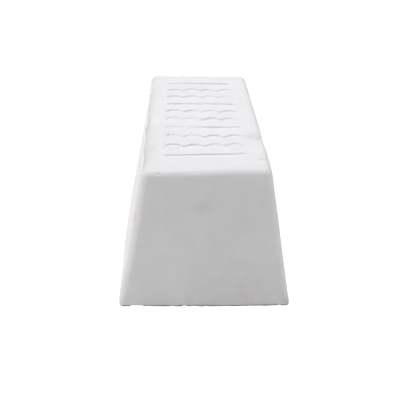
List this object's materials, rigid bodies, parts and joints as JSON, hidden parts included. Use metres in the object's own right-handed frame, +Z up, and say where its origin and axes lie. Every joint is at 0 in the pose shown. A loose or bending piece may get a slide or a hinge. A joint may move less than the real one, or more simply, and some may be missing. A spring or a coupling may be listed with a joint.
{
  "type": "gymnastics chalk block",
  "caption": "Bare block of pressed gymnastics chalk: a tapered bar with soft edges, resting on its larger face, with plain waves and bars sunk into the top.",
  "frame": {"origin": "middle of the large face the block rests on", "axes": "+X across the block, +Y along it, +Z up from the resting face to the small face with the sunk ornament"},
  "size_m": [0.0488, 0.0962, 0.038],
  "materials": {
    "pressed_chalk": "dry, powdery, fully matte"
  },
  "bodies": {
    "root": {"chalk_block": "pressed_chalk"}
  },
  "joints": []
}
